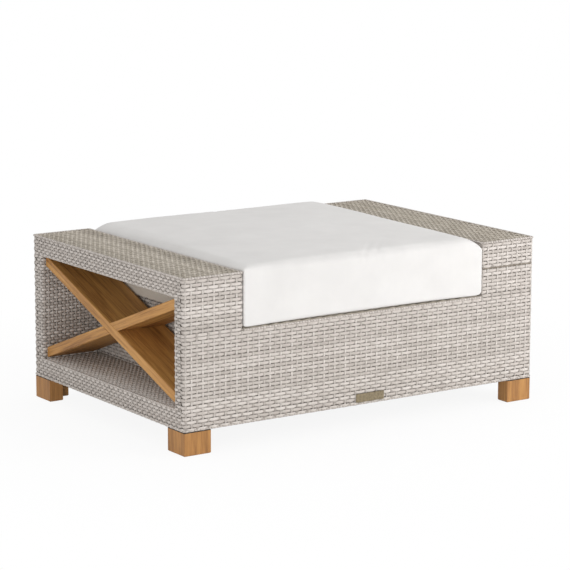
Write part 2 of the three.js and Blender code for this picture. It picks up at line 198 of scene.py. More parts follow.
# %% A sheet collects many swept strands into one mesh
class Sheet:
    """Gathers strands. plane names which axes the track and the rows lie on."""

    def __init__(self, plane):
        self.order = {"xy": (0, 1, 2), "yz": (1, 2, 0), "xz": (0, 2, 1)}[plane]
        self.points = []
        self.faces = []
        self.tones = []
        self.kinds = []
        self.count = 0

    def sweep(self, track, start, end, row, half_row, half_thick, step, wave=0.0, phase=0.0,
              offset=0.0, sides=6, tone=0.5, kind=0, drift=0.0, period=stake_pitch):
        steps = max(1, int(math.ceil((end - start) / step - 1e-6)))
        u = np.linspace(start, end, steps + 1)
        spots, normals = track.sample(u)
        lift = offset + wave * np.cos(math.pi * u / period + phase)
        middle = spots + normals * lift[:, None]
        turn = np.arange(sides) * 2 * math.pi / sides + (math.pi / sides if sides == 4 else 0)
        grow = math.sqrt(2) if sides == 4 else 1
        across = np.cos(turn) * half_row * grow
        through = np.sin(turn) * half_thick * grow
        plane_spots = middle[:, None, :] + normals[:, None, :] * through[None, :, None]
        rows = row + across + drift * np.sin(u * drift_rate + tone * drift_shift)[:, None]
        full = np.zeros((len(u), sides, 3))
        a, b, c = self.order
        full[:, :, a] = plane_spots[:, :, 0]
        full[:, :, b] = plane_spots[:, :, 1]
        full[:, :, c] = rows
        base = self.count
        i = np.arange(len(u) - 1)[:, None] * sides
        j = np.arange(sides)[None, :]
        k = (j + 1) % sides
        quads = np.stack([base + i + j, base + i + k, base + i + sides + k, base + i + sides + j],
                         axis=-1).reshape(-1, 4)
        self.faces.extend(quads.tolist())
        last = base + (len(u) - 1) * sides
        self.faces.append([base + n for n in reversed(range(sides))])
        self.faces.append([last + n for n in range(sides)])
        self.points.append(full.reshape(-1, 3))
        self.tones.append(np.full(len(u) * sides, tone))
        self.kinds.extend([kind] * (len(quads) + 2))
        self.count += len(u) * sides

    def rows(self, track, low, high, step_share=samples_per_stake, wanted=row_pitch,
             stake=stake_pitch, with_shade_sheet=True, wave=wave_height, cover=strand_cover_share,
             stake_tones=front_stake_tones):
        """Strands from low to high across the rows, stakes, and a dark sheet behind them that is
        painted shade in the gaps.
        """
        total = max(1, round((high - low) / wanted))
        pitch = (high - low) / total
        for n in range(total):
            tone = float(rng.uniform(*strand_tones))
            centre = low + (n + 0.5) * pitch + float(rng.uniform(-row_jitter, row_jitter))
            self.sweep(track, 0, track.length, centre, pitch * cover, strand_half_thickness,
                       stake / step_share, wave=wave, phase=math.pi * (n % 2), tone=tone,
                       drift=strand_drift, period=stake)
        final = int(math.floor((track.length - stake_half_width) / stake))
        for s in range(1, final + 1):
            tone, offset = (stake_tones[0], stake_proud) if s % 2 == 0 else (stake_tones[1], 0)
            self.stake(track, s * stake, low, high, tone, offset)
        if with_shade_sheet:
            self.sweep(track, 0, track.length, (low + high) / 2, (high - low) / 2 - shade_sheet_inset,
                       shade_sheet_half_thickness, stake, offset=-shade_sheet_depth, sides=4, kind=1)

    def stake(self, track, u, low, high, tone, offset):
        centre = (low + high) / 2
        self.sweep(track, u - stake_half_width, u + stake_half_width, centre, (high - low) / 2,
                   stake_half_thickness, stake_half_width * 2, sides=4, offset=offset, tone=tone)

    def build(self, name, materials):
        mesh = bpy.data.meshes.new(name)
        points = np.concatenate(self.points)
        mesh.from_pydata(points.tolist(), [], self.faces)
        for material in materials:
            mesh.materials.append(material)
        mesh.polygons.foreach_set("material_index", np.array(self.kinds, dtype=np.int32))
        mesh.polygons.foreach_set("use_smooth", np.ones(len(self.faces), dtype=bool))
        tone = mesh.attributes.new("tone", "FLOAT", "POINT")
        tone.data.foreach_set("value", np.concatenate(self.tones).astype(np.float32))
        mesh.update()
        piece = bpy.data.objects.new(name, mesh)
        bpy.context.scene.collection.objects.link(piece)
        select_only(piece)
        bpy.ops.object.mode_set(mode="EDIT")
        bpy.ops.mesh.select_all(action="SELECT")
        bpy.ops.mesh.normals_make_consistent(inside=False)
        bpy.ops.object.mode_set(mode="OBJECT")
        piece.select_set(False)
        print(name, len(self.faces), "faces")
        return piece


# %% [markdown]
# Materials come before the pieces. Each colour is written as the sRGB hex value that
# an eye would read off the object, and one function turns it to the linear numbers
# that shaders want. Patterns are scaled from real sizes in millimetres.

# %% Colour and node helpers
def linear(hex_colour):
    """An sRGB hex value as linear red, green, blue and alpha."""
    parts = [int(hex_colour[i:i + 2], 16) / 255 for i in (1, 3, 5)]
    return tuple(p / 12.92 if p <= 0.04045 else ((p + 0.055) / 1.055) ** 2.4
                 for p in parts) + (1.0,)


def new_material(name):
    material = bpy.data.materials.new(name)
    material.use_nodes = True
    return material, material.node_tree, material.node_tree.nodes["Principled BSDF"]


def add_node(tree, kind, links=None, **settings):
    """Adds a node, sets its properties or sockets by name, and links its inputs."""
    node = tree.nodes.new(kind)
    for key, value in settings.items():
        if hasattr(node, key):
            setattr(node, key, value)
        else:
            node.inputs[key.replace("_", " ")].default_value = value
    for key, source in (links or {}).items():
        tree.links.new(source, node.inputs[key])
    return node


def ramp(tree, source, stops):
    node = add_node(tree, "ShaderNodeValToRGB", {"Fac": source})
    band = node.color_ramp
    while len(band.elements) < len(stops):
        band.elements.new(0.5)
    for element, (place, colour) in zip(band.elements, stops):
        element.position = place
        element.color = linear(colour)
    return node.outputs["Color"]


def set_sockets(shader, **values):
    for key, value in values.items():
        shader.inputs[key.replace("_", " ")].default_value = value


def per_mm(size):
    """Noise scale whose features measure about size millimetres."""
    return 1 / (size * MM)


# %% Resin wicker: extruded flat strand, faintly ribbed, heathered from strand to strand
tone_share = 0.5
streak_share = 0.5


def wicker_material(name, light, middle, dark, roughness):
    material, tree, shader = new_material(name)
    coords = add_node(tree, "ShaderNodeTexCoord").outputs["Object"]
    tone = add_node(tree, "ShaderNodeAttribute", attribute_name="tone").outputs["Fac"]
    streak = add_node(tree, "ShaderNodeTexNoise", {"Vector": coords}, Scale=per_mm(22), Detail=4.0)
    fine = add_node(tree, "ShaderNodeTexNoise", {"Vector": coords}, Scale=per_mm(2.2), Detail=3.0)
    quieter = add_node(tree, "ShaderNodeMath", {0: streak.outputs["Fac"]}, operation="MULTIPLY")
    quieter.inputs[1].default_value = streak_share
    blend = add_node(tree, "ShaderNodeMath", {0: tone, 2: quieter.outputs[0]},
                     operation="MULTIPLY_ADD")
    blend.inputs[1].default_value = tone_share
    colour = ramp(tree, blend.outputs[0], [(0.15, dark), (0.5, middle), (0.85, light)])
    tree.links.new(colour, shader.inputs["Base Color"])
    bump = add_node(tree, "ShaderNodeBump", {"Height": fine.outputs["Fac"]},
                    Strength=0.25, Distance=0.4 * MM)
    tree.links.new(bump.outputs["Normal"], shader.inputs["Normal"])
    set_sockets(shader, Roughness=roughness, Specular_IOR_Level=0.35, IOR=1.5)
    return material


wicker = wicker_material("woven_resin_strand", "#dbd4ce", "#c2bab3", "#a49c95", 0.6)
# a darker, more contrasting copy of the same strand colour for the arm tops, the deck and the
# ceilings: painted shade
wicker_top_painted_shade = wicker_material("woven_resin_strand_arm_painted_shade", "#d6cec3", "#b1a89a", "#7f7567", 0.64)
# finish of the dark sheet behind the strands and of the join strand: painted shade
shade_sheet_finish = wicker_material("weave_painted_shade_sheet", "#958c81", "#81786d", "#665e53", 0.8)


# %% Teak: oiled and sanded, with long grain lines, darker growth bands and open pores
along_grain_share = 0.045
line_share = 0.55
shade_shift = 0.28


def teak_material(name, grain_turn, light, middle, dark, offset):
    material, tree, shader = new_material(name)
    coords = add_node(tree, "ShaderNodeTexCoord").outputs["Object"]
    turned = add_node(tree, "ShaderNodeMapping", {"Vector": coords})
    turned.inputs["Rotation"].default_value = grain_turn
    turned.inputs["Location"].default_value = offset
    stretch = add_node(tree, "ShaderNodeMapping", {"Vector": turned.outputs["Vector"]})
    stretch.inputs["Scale"].default_value = (1, along_grain_share, 1)
    bands = add_node(tree, "ShaderNodeTexNoise", {"Vector": stretch.outputs["Vector"]},
                     Scale=per_mm(17), Detail=5.0, Roughness=0.6, Distortion=0.6)
    lines = add_node(tree, "ShaderNodeTexNoise", {"Vector": stretch.outputs["Vector"]},
                     Scale=per_mm(3.2), Detail=4.0, Roughness=0.65)
    mix = add_node(tree, "ShaderNodeMath", operation="MULTIPLY_ADD")
    tree.links.new(lines.outputs["Fac"], mix.inputs[0])
    mix.inputs[1].default_value = line_share
    tree.links.new(bands.outputs["Fac"], mix.inputs[2])
    shifted = add_node(tree, "ShaderNodeMath", operation="SUBTRACT")
    tree.links.new(mix.outputs[0], shifted.inputs[0])
    shifted.inputs[1].default_value = shade_shift
    colour = ramp(tree, shifted.outputs[0], [(0.3, dark), (0.5, middle), (0.72, light)])
    tree.links.new(colour, shader.inputs["Base Color"])
    bump = add_node(tree, "ShaderNodeBump", {"Height": lines.outputs["Fac"]},
                    Strength=0.3, Distance=0.5 * MM)
    tree.links.new(bump.outputs["Normal"], shader.inputs["Normal"])
    set_sockets(shader, Roughness=0.52, Specular_IOR_Level=0.4)
    return material


# %% Powder coat, aged brass, tape
def coated_metal(name, base, shade, metallic, roughness, grit):
    material, tree, shader = new_material(name)
    coords = add_node(tree, "ShaderNodeTexCoord").outputs["Object"]
    grain = add_node(tree, "ShaderNodeTexNoise", {"Vector": coords}, Scale=per_mm(grit), Detail=4.0)
    colour = ramp(tree, grain.outputs["Fac"], [(0.35, shade), (0.65, base)])
    tree.links.new(colour, shader.inputs["Base Color"])
    bump = add_node(tree, "ShaderNodeBump", {"Height": grain.outputs["Fac"]},
                    Strength=0.15, Distance=0.2 * MM)
    tree.links.new(bump.outputs["Normal"], shader.inputs["Normal"])
    set_sockets(shader, Metallic=metallic, Roughness=roughness)
    return material


powder_coat = coated_metal("powder_coated_aluminium", "#dcd6cc", "#cdc6bb", 0.0, 0.5, 1.2)
aged_brass = coated_metal("aged_brass", "#8d8068", "#736852", 0.6, 0.5, 6)
tape_finish = coated_metal("woven_zip_tape", "#e2dfd9", "#c9c5be", 0.0, 0.8, 1)


# %% Outdoor canvas: solution-dyed acrylic, plain weave, matt with a little sheen
thread_width = 1.1
# a wave texture turns this many radians over one unit at scale 1
wave_texture_rate = 20


def canvas_material():
    material, tree, shader = new_material("white_outdoor_canvas")
    coords = add_node(tree, "ShaderNodeTexCoord").outputs["Object"]
    weave = []
    for direction in ("X", "Y", "Z"):
        wave = add_node(tree, "ShaderNodeTexWave", {"Vector": coords}, bands_direction=direction,
                        Scale=per_mm(thread_width) / wave_texture_rate, Distortion=0.4)
        weave.append(wave.outputs["Fac"])
    cross = add_node(tree, "ShaderNodeMath", operation="ADD")
    tree.links.new(weave[0], cross.inputs[0])
    tree.links.new(weave[1], cross.inputs[1])
    three = add_node(tree, "ShaderNodeMath", operation="ADD")
    tree.links.new(cross.outputs[0], three.inputs[0])
    tree.links.new(weave[2], three.inputs[1])
    cloud = add_node(tree, "ShaderNodeTexNoise", {"Vector": coords}, Scale=per_mm(90), Detail=3.0)
    colour = ramp(tree, cloud.outputs["Fac"], [(0.3, "#d7d5d3"), (0.7, "#dddbd9")])
    tree.links.new(colour, shader.inputs["Base Color"])
    bump = add_node(tree, "ShaderNodeBump", {"Height": three.outputs[0]},
                    Strength=0.12, Distance=0.3 * MM)
    tree.links.new(bump.outputs["Normal"], shader.inputs["Normal"])
    set_sockets(shader, Roughness=0.9, Sheen_Weight=0.15, Sheen_Roughness=0.5,
                Specular_IOR_Level=0.2)
    return material


canvas = canvas_material()
weave_pair = [wicker, shade_sheet_finish]
arm_pair = [wicker_top_painted_shade, shade_sheet_finish]

# %% [markdown]
# The front and back panels. Below the deck each row runs the whole length and turns
# both corners. Above it the cushion's recess splits the rows: they stop at the arms
# and turn inwards there, as the real strand is wrapped round the arm.

# %% Edging strand
edging_radius = 3.2 * MM
core_radius = 2.6 * MM
lashing_pitch = stake_pitch / 2
lashing_length = 6.2 * MM
lashing_tone_step = 0.15


def edging(sheet, plane_track, row, tone):
    """A round core with short lashings wound over it: the edge reads as weave, not as a pipe."""
    sheet.sweep(plane_track, 0, plane_track.length, row, core_radius, core_radius,
                stake_pitch / 4, sides=6, tone=0.0)
    total = int(plane_track.length / lashing_pitch)
    for n in range(total):
        start = (n + 0.5) * plane_track.length / total - lashing_length / 2
        shade = tone + (lashing_tone_step if n % 2 else -lashing_tone_step)
        sheet.sweep(plane_track, start, start + lashing_length, row, edging_radius,
                    edging_radius, lashing_length / 2, sides=6, tone=shade)


# %% Front and back weave
mid_x = half_length - middle_depth
mid_y = half_depth - middle_depth
turn_stub = 10 * MM
top_band = 6 * MM
recess_edge = deck_top - 10.5 * MM
inner_mid = arm_inner + middle_depth
join_row = body_top - 78 * MM
join_gap = 3.6 * MM
join_cover_share = 0.7
join_wave = 0.9 * MM


def long_panel(name, side):
    """The front has a dark join line across its right arm, as in the photo."""
    sheet = Sheet("xy")
    y = side * mid_y
    stub_y = y - side * (corner_radius + turn_stub)
    outward = 1 if side < 0 else -1
    full = [(-mid_x, stub_y), (-mid_x, y), (mid_x, y), (mid_x, stub_y)]
    sheet.rows(Track(full, corner_radius, outward), body_bottom, recess_edge)
    for end in (-1, 1):
        points = [(end * mid_x, stub_y), (end * mid_x, y), (end * inner_mid, y),
                  (end * inner_mid, stub_y)]
        facing = outward if end < 0 else -outward
        track = Track(points, corner_radius, facing)
        if side < 0 and end > 0:
            sheet.rows(track, recess_edge, join_row)
            # the join strand takes the dark sheet's finish: painted shade in the gap between the
            # two woven parts
            sheet.sweep(track, 0, track.length, join_row + join_gap / 2,
                        join_gap * join_cover_share, strand_half_thickness,
                        stake_pitch / samples_per_stake, wave=join_wave, kind=1)
            sheet.rows(track, join_row + join_gap, body_top - top_band)
        else:
            sheet.rows(track, recess_edge, body_top - top_band)
    piece = sheet.build(name, weave_pair)
    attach(piece, "base")
    return piece


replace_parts(long_panel("front_weave", -1), "front_woven_panel")
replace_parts(long_panel("back_weave", 1), "back_woven_panel")

# %% [markdown]
# Each end: rows run front to back across the sill and the lintel. Beside the opening
# they run over the jamb, turn into the compartment and line its side walls. The photo
# shows a finer checker here than on the front, so the pitches are smaller and the
# strands wave more.

# %% End weave
edge_start = mid_y - corner_radius - turn_stub
wall_mid = opening_half + 1.5 * MM
inner_stop = wall_end - 2 * MM
ceiling_line = ceiling_under + 1 * MM


def end_weave(name, side):
    sheet = Sheet("xy")
    x = side * mid_x
    straight = Track([(x, -edge_start), (x, edge_start)], corner_radius, -1 if side < 0 else 1)
    look = {"wanted": end_row_pitch, "stake": end_stake_pitch, "wave": end_wave,
            "stake_tones": end_stake_shaded_tones}
    sheet.rows(straight, body_bottom, floor_top - corner_radius, **look)
    sheet.rows(straight, ceiling_line, body_top - top_band, **look)
    for face in (-1, 1):
        points = [(x, face * edge_start), (x, face * wall_mid),
                  (side * inner_stop, face * wall_mid)]
        facing = -1 if (side < 0) == (face < 0) else 1
        sheet.rows(Track(points, jamb_radius, facing), floor_top - corner_radius, ceiling_line,
                   **look)
    piece = sheet.build(name, weave_pair)
    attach(piece, "base")
    return piece


def sill_and_floor(name, side):
    sheet = Sheet("yz")
    z = floor_top - middle_depth
    low, high = sorted((side * (half_length - wrap_edge), side * inner_stop))
    sheet.rows(Track([(-wall_mid, z), (wall_mid, z)], corner_radius, -1), low, high,
               wanted=floor_row_pitch, stake=floor_stake_pitch, wave=floor_wave)
    edge_z = floor_top - edging_radius
    edge_x = half_length - edging_radius
    reach = opening_half + edging_radius
    for row in (edge_z, ceiling_under + edging_radius):
        edging(sheet, Track([(-reach, row), (reach, row)], corner_radius, -1), side * edge_x, 0.5)
    piece = sheet.build(name, weave_pair)
    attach(piece, "base")
    return piece


def flat_sheet(name, start, end, half_width, outward):
    """A flat weave whose rows run along x, out to half_width in front and behind."""
    sheet = Sheet("xz")
    sheet.rows(Track([start, end], corner_radius, outward), -half_width, half_width,
               step_share=flat_samples_per_stake)
    piece = sheet.build(name, arm_pair)
    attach(piece, "base")
    return piece


def arm_top(name, side):
    sheet = Sheet("yz")
    z = body_top - middle_depth
    reach = half_depth - wrap_edge
    low, high = sorted((side * (half_length - wrap_edge), side * (arm_inner + wrap_edge)))
    sheet.rows(Track([(-reach, z), (reach, z)], corner_radius, -1), low, high, wanted=arm_row_pitch,
               stake=arm_stake_pitch, wave=arm_wave, cover=arm_cover_share)
    piece = sheet.build(name, arm_pair)
    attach(piece, "base")
    return piece


def inner_weave(name, side):
    """Below the deck only one side shows. Above it both do, so it has no sheet of painted shade
    behind it there.
    """
    sheet = Sheet("xy")
    x = side * inner_mid
    facing = -1 if side < 0 else 1
    track = Track([(x, -edge_start), (x, edge_start)], corner_radius, facing)
    sheet.rows(track, body_bottom, deck_under)
    sheet.rows(track, deck_under, body_top - top_band, with_shade_sheet=False)
    piece = sheet.build(name, weave_pair)
    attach(piece, "base")
    return piece


for end_name, side in (("left", -1), ("right", 1)):
    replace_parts(end_weave(f"{end_name}_end_weave", side), f"{end_name}_end_woven_rim",
                f"{end_name}_compartment_front_wall", f"{end_name}_compartment_back_wall")
    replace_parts(sill_and_floor(f"{end_name}_floor_weave", side), f"{end_name}_compartment_floor")
    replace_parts(arm_top(f"{end_name}_arm_weave", side), f"{end_name}_arm_woven_top")
    x0, x1 = sorted((side * inner_stop, side * (half_length - skin)))
    z = ceiling_under + middle_depth
    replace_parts(flat_sheet(f"{end_name}_ceiling_weave", (x0, z), (x1, z), opening_half, 1),
                f"{end_name}_compartment_ceiling")
    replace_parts(inner_weave(f"{end_name}_inner_weave", side), f"{end_name}_inner_woven_panel")

# %% Seat deck, bent down a little at its front and back edges
deck_mid = deck_top - middle_depth
deck_side = arm_inner - 1 * MM
deck_reach = half_depth - wrap_edge
lip_start = half_depth - 24 * MM
lip_drop = 5 * MM


def lip(y):
    """How far the deck, and the cushion on it, bend down towards the front and back edges."""
    return lip_drop * np.clip((np.abs(y) - lip_start) / (deck_reach - lip_start), 0, 1) ** 2


deck = flat_sheet("deck_weave", (-deck_side, deck_mid), (deck_side, deck_mid), deck_reach, -1)
deck_spots = read_points(deck)
deck_spots[:, 2] -= lip(deck_spots[:, 1])
write_points(deck, deck_spots)
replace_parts(deck, "seat_woven_deck")

# %% [markdown]
# Where two woven faces meet, the maker lays a round strand and winds short lashings over
# it. They hide the cut ends of the strands along the arm tops, across the recess and
# round the foot of the body. Here they are a swept core with short sleeves on it, and
# the sleeves take light and middle tones by turns.

# %% Edging round the arm tops, the recess and the foot of the body
def edging_ring():
    sheet = Sheet("xy")
    row = body_top - edging_radius
    out_x = half_length - edging_radius
    out_y = half_depth - edging_radius
    in_x = arm_inner + edging_radius
    for end in (-1, 1):
        loop = [(end * in_x, 0), (end * in_x, -out_y), (end * out_x, -out_y), (end * out_x, out_y),
                (end * in_x, out_y), (end * in_x, 0)]
        edging(sheet, Track(loop, edging_radius, 1 if end > 0 else -1), row, 0.5)
    for face in (-1, 1):
        across = Track([(-arm_inner, face * out_y), (arm_inner, face * out_y)],
                       edging_radius, -face)
        edging(sheet, across, recess_edge + edging_radius / 2, 0.6)
    loop = [(0, -out_y), (out_x, -out_y), (out_x, out_y), (-out_x, out_y), (-out_x, -out_y),
            (0, -out_y)]
    edging(sheet, Track(loop, edging_radius, 1), body_bottom + edging_radius, 0.5)
    piece = sheet.build("edging_strands", weave_pair)
    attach(piece, "base")
    return piece


edging_ring()

# %% [markdown]
# The planks, feet, tubes, plate and zip are solids whose shape is already right, so
# they keep their shape and get their finish. Wood grain runs along each plank, so the
# pattern is turned by the plank's own slope, and it runs upright in the feet.

# %% Finish the solids that stay
plank_low, plank_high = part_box("left_x_plank_falling_to_back")
plank_end_height = 29 * MM
plank_slope = math.atan2(plank_high[2] - plank_low[2] - plank_end_height,
                         plank_high[1] - plank_low[1])
teak_colours = ("#cc9a58", "#b38145", "#87592a")
teak_down = teak_material("oiled_teak_plank_a", (plank_slope, 0, 0), *teak_colours, (0.3, 0, 0.1))
teak_up = teak_material("oiled_teak_plank_b", (-plank_slope, 0, 0), *teak_colours, (0, 0.2, 0.5))
teak_foot = teak_material("oiled_teak_foot", (math.pi / 2, 0, 0), "#bd8c4e", "#a87742", "#875d31",
                          (0.1, 0.4, 0))


def set_finish(node_name, material):
    target = nodes[node_name]
    target.data.materials.clear()
    target.data.materials.append(material)


for node_name in nodes:
    if node_name.endswith("falling_to_back"):
        set_finish(node_name, teak_down)
    elif node_name.endswith("falling_to_front"):
        set_finish(node_name, teak_up)
    elif node_name.endswith("_foot"):
        set_finish(node_name, teak_foot)
    elif node_name.endswith(("_post", "_rail", "_slat")):
        set_finish(node_name, powder_coat)
set_finish("front_blank_plate", aged_brass)
set_finish("cushion_zip_slider", aged_brass)
set_finish("cushion_zip_band", tape_finish)

# %% [markdown]
# A thin dark plate lies between each foot and the body and shows as a dark line below the
# weave: painted shadow of the gap there. The foot's own mesh is copied, cut off just below
# its top and swollen a little, so that the plate follows the foot's L shape.

# %% Dark plates above the feet: painted shadow
shadow_plate_thickness = 2.4 * MM
shadow_plate_overhang = 0.5 * MM
weld_distance = 0.01 * MM
# dark finish of the plates: painted shadow of the gap under the weave
shadow_plate_finish = coated_metal("dark_rubber_pad", "#3b3128", "#2a231c", 0.0, 0.8, 3)


def foot_shadow_plate(foot_name):
    mesh = nodes[foot_name].data.copy()
    mesh.materials.clear()
    mesh.materials.append(shadow_plate_finish)
    piece = bpy.data.objects.new(foot_name + "_pad", mesh)
    bpy.context.scene.collection.objects.link(piece)
    select_only(piece)
    bpy.ops.object.mode_set(mode="EDIT")
    bpy.ops.mesh.select_all(action="SELECT")
    bpy.ops.mesh.remove_doubles(threshold=weld_distance)
    bpy.ops.mesh.bisect(plane_co=(0, 0, body_bottom - shadow_plate_thickness), plane_no=(0, 0, 1),
                        clear_inner=True, use_fill=True)
    bpy.ops.mesh.select_all(action="SELECT")
    bpy.ops.mesh.normals_make_consistent(inside=False)
    bpy.ops.transform.shrink_fatten(value=shadow_plate_overhang)
    bpy.ops.object.mode_set(mode="OBJECT")
    piece.select_set(False)
    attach(piece, "base")
    print(piece.name, len(piece.data.polygons), "faces")


for node_name in list(nodes):
    if node_name.endswith("_foot"):
        foot_shadow_plate(node_name)

# %% [markdown]
# The cushion is boxed: two panels and a band round the sides, sewn over foam. Foam
# crowns the top and pulls the sides in between the corners. A cube's long edges are
# rounded, it is cut into an even grid, and a cloth simulation puffs it a little. The
# seams, puckers and creases are pressed in afterwards by formula.

# %% Cushion shape
cover_low, cover_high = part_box("cushion_cover")
edge_height = 155 * MM
crown = 13 * MM
crown_power = 0.55
left_top_radius = 9 * MM
right_top_radius = 15 * MM
left_foot_radius = 6 * MM
right_foot_radius = 15 * MM
face_edge_radius = 4 * MM
side_draw = 1.5 * MM
side_room = 1 * MM
grid_size = 6 * MM
corner_segments = 8
face_edge_segments = 3
nearly = 0.99


def dome(x, y):
    """Share of the crown's height: 1 in the middle, 0 where x or y reaches 1 or -1."""
    return np.clip(1 - x ** 2, 0, 1) ** crown_power * np.clip(1 - y ** 2, 0, 1) ** crown_power


def cushion_start():
    deselect()
    bpy.ops.mesh.primitive_cube_add(size=1, location=(0, 0, 0))
    piece = bpy.context.active_object
    piece.name = "boxed_cushion"
    half = [arm_inner - side_room, half_depth, edge_height / 2]
    piece.scale = [2 * h for h in half]
    bpy.ops.object.transform_apply(location=False, rotation=False, scale=True)
    corners = ((1, -1, left_top_radius), (1, 1, right_top_radius),
               (-1, -1, left_foot_radius), (-1, 1, right_foot_radius))
    for level, hand, radius in corners:
        bpy.ops.object.mode_set(mode="EDIT")
        bpy.ops.mesh.select_mode(type="EDGE")
        bpy.ops.mesh.select_all(action="DESELECT")
        bpy.ops.object.mode_set(mode="OBJECT")
        for edge in piece.data.edges:
            ends = [piece.data.vertices[v].co for v in edge.vertices]
            long_way = abs(ends[0].y - ends[1].y) > half_depth
            at_level = level * ends[0].z > half[2] * nearly
            edge.select = long_way and at_level and hand * ends[0].x > half[0] * nearly
        bpy.ops.object.mode_set(mode="EDIT")
        bpy.ops.mesh.bevel(offset=radius, segments=corner_segments, affect="EDGES")
        bpy.ops.object.mode_set(mode="OBJECT")
    bevel = piece.modifiers.new("round", "BEVEL")
    bevel.width = face_edge_radius
    bevel.segments = face_edge_segments
    bevel.limit_method = "ANGLE"
    bevel.angle_limit = math.radians(60)
    bpy.ops.object.modifier_apply(modifier="round")
    remesh = piece.modifiers.new("even", "REMESH")
    remesh.mode = "VOXEL"
    remesh.voxel_size = grid_size
    remesh.use_smooth_shade = True
    bpy.ops.object.modifier_apply(modifier="even")
    spots = read_points(piece)
    x, y, z = spots[:, 0] / half[0], spots[:, 1] / half[1], spots[:, 2]
    upper = np.clip((z + half[2]) / (2 * half[2]), 0, 1)
    spots[:, 0] *= 1 - side_draw * np.clip(1 - y ** 2, 0, 1) / half[0]
    spots[:, 1] *= 1 - side_draw * np.clip(1 - x ** 2, 0, 1) / half[1]
    spots[:, 2] += crown * upper * dome(x, y)
    spots += np.array([0, 0, float(cover_low[2]) + half[2]])
    write_points(piece, spots)
    return piece


# %% Puff it with a short cloth simulation
puff_cap = 3.5 * MM
puff_frames = 20


def cushion_puff(piece):
    """Cloth with a little pressure. No point may end farther than puff_cap from its start."""
    before = read_points(piece)
    select_only(piece)
    cloth = piece.modifiers.new("puff", "CLOTH")
    settings = cloth.settings
    settings.quality = 5
    settings.mass = 0.3
    settings.tension_stiffness = 12
    settings.compression_stiffness = 12
    settings.bending_stiffness = 0.6
    settings.use_pressure = True
    settings.uniform_pressure_force = 0.5
    settings.effector_weights.gravity = 0
    cloth.collision_settings.use_self_collision = False
    cloth.point_cache.frame_start = 1
    cloth.point_cache.frame_end = puff_frames
    for n in range(1, puff_frames + 1):
        bpy.context.scene.frame_set(n)
    bpy.ops.object.modifier_apply(modifier="puff")
    bpy.context.scene.frame_set(1)
    moved = read_points(piece) - before
    far = np.linalg.norm(moved, axis=1, keepdims=True)
    moved *= np.minimum(1, puff_cap / np.maximum(far, 1e-9))
    write_points(piece, before + moved)
    print("puffed by up to", round(float(far.max()) * 1000, 1), "mm")


# %% Where the cushion settles, and the sizes of its seams, puckers and creases
press_out = 1.015
sink = 3 * MM
settled_half_x = arm_inner - 0.8 * MM
settled_front_y = half_depth + 0.5 * MM
settled_back_y = float(cover_high[1]) - 0.7 * MM
widest_front_y = half_depth + 2 * MM
skirt_height = 70 * MM
# the front right and back left top corners are squashed rounder than the other two
melt_width = 62 * MM
melt_drop = 24 * MM
melt_middle_share = 0.35
seam_depth = 0.9 * MM
seam_half_width = 3.5 * MM
seam_rise_share = 0.9
# waves in radians per metre along a seam: the fine one drifts, the broad one doesn't,
# and the slow one lets the puckers fade in and out
pucker_height = 0.9 * MM
pucker_fall = 16 * MM
pucker_reach = 40 * MM
pucker_fine, pucker_drift, pucker_broad, pucker_slow = 210, 37, 95, 13
pucker_fine_share, pucker_drift_size, pucker_broad_share = 0.55, 1.3, 0.8
pucker_least_share = 0.3
# creases slant across the front and back edges of the top
crease_depth = 4 * MM
crease_reach = 120 * MM
crease_slant = 0.9
crease_fine, crease_drift, crease_group, crease_slow = 118, 31, 37, 9
crease_drift_size = 3.1
crease_threshold = 0.4
# broad, shallow unevenness of the whole top
swell_height = 0.9 * MM
swell_x, swell_y = 11, 9


